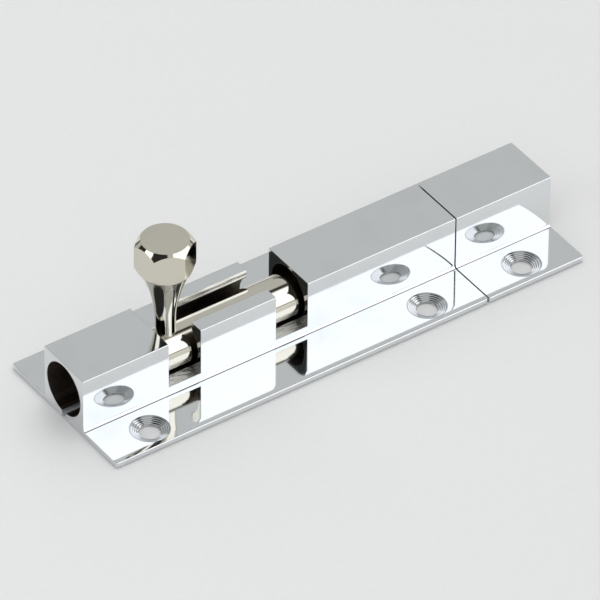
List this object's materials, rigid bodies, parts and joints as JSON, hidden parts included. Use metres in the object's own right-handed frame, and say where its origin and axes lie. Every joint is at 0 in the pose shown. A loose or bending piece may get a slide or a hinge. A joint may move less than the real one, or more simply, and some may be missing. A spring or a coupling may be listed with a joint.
{
  "type": "furniture slide bolt",
  "caption": "Surface slide bolt with a square channel housing, a round rod, a hexagonal knob that turns down into cross notches, and a matching keeper.",
  "frame": {"origin": "centre of the housing's four screw holes, on the mounting face", "axes": "+X along the bolt towards the keeper, +Y across the plate, +Z away from the mounting face"},
  "size_m": [0.0948, 0.031, 0.0291],
  "materials": {
    "housing_chrome": "polished chrome plate",
    "keeper_chrome": "polished chrome plate",
    "rod_nickel": "polished nickel plate, turned",
    "knob_nickel": "polished nickel plate, turned"
  },
  "bodies": {
    "housing": {"housing": "housing_chrome", "keeper": "keeper_chrome"},
    "rod": {"bolt_rod": "rod_nickel"},
    "knob": {"knob": "knob_nickel"}
  },
  "joints": [
    {"name": "bolt_slide", "type": "slide", "parent": "housing", "child": "rod", "axis": [1, 0, 0], "range_m": [0, 0.0215]},
    {"name": "knob_turn", "type": "hinge", "parent": "rod", "child": "knob", "pos_m": [-0.0173, 0, 0.0056], "axis": [1, 0, 0], "range_deg": [-91, 91]}
  ]
}
